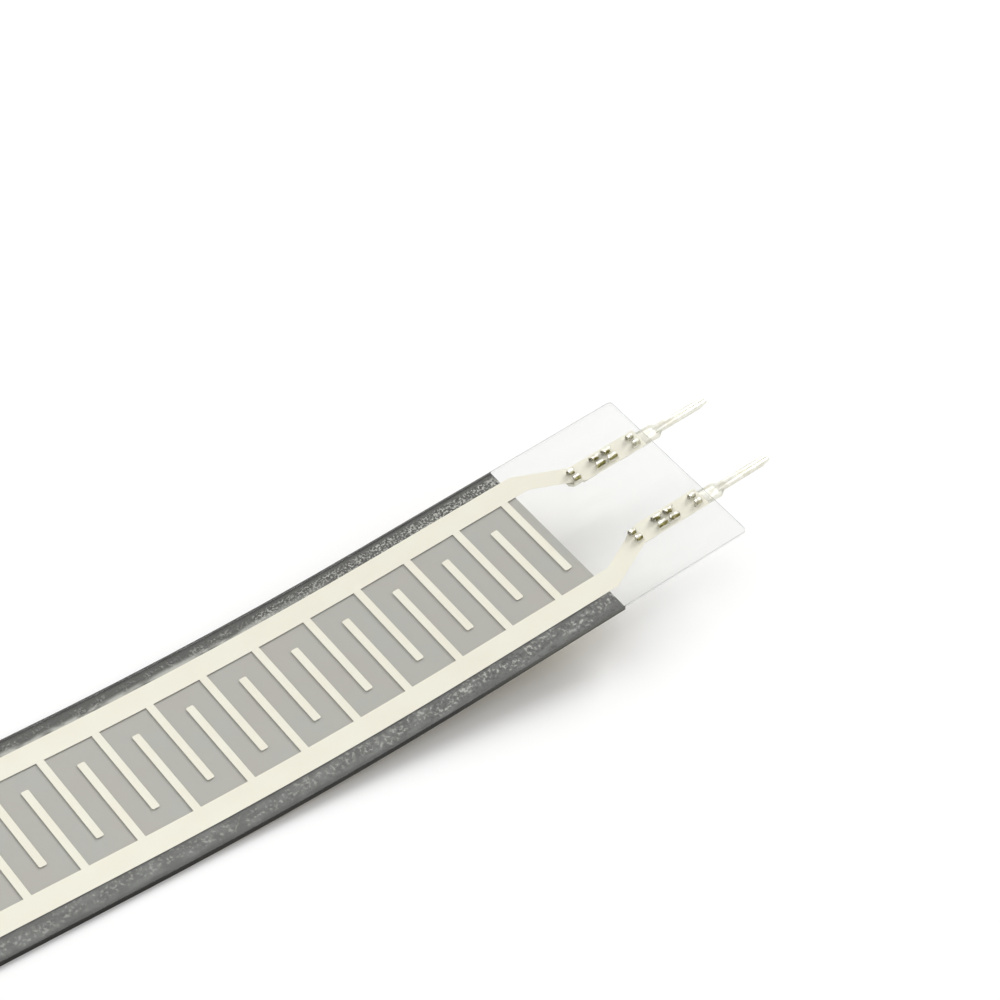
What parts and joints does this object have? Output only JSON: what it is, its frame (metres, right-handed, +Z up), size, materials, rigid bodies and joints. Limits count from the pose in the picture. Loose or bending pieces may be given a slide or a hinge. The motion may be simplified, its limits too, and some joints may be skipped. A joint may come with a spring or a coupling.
{
  "type": "force sensing resistor",
  "caption": "Strip-type force sensing resistor: clear film laminate with interlaced silver combs over a dark semiconductive layer, and crimped solder contacts.",
  "frame": {"origin": "middle of the flat mounting face, on the underside of the release liner", "axes": "+X along the flat run towards the terminal end, +Y across the strip towards the far edge, +Z up through the stack"},
  "size_m": [0.118, 0.0152, 0.0056],
  "materials": {
    "clear_film": "clear polyester film, glossy",
    "silver_ink": "printed silver ink, pale and satin",
    "clear_adhesive": "clear acrylic adhesive",
    "carbon_ink": "semiconductive carbon ink, dark grey",
    "liner_paper": "coated kraft release paper, satin",
    "tinned_contact": "bright tin plating over copper alloy"
  },
  "bodies": {
    "root": {"electrode_film": "clear_film", "electrode_comb_far": "silver_ink", "electrode_comb_near": "silver_ink", "spacer_adhesive": "clear_adhesive", "semiconductive_layer": "carbon_ink", "backing_film": "clear_film", "rear_adhesive": "clear_adhesive", "release_liner": "liner_paper", "solder_contact_far": "tinned_contact", "solder_contact_near": "tinned_contact"}
  },
  "joints": []
}
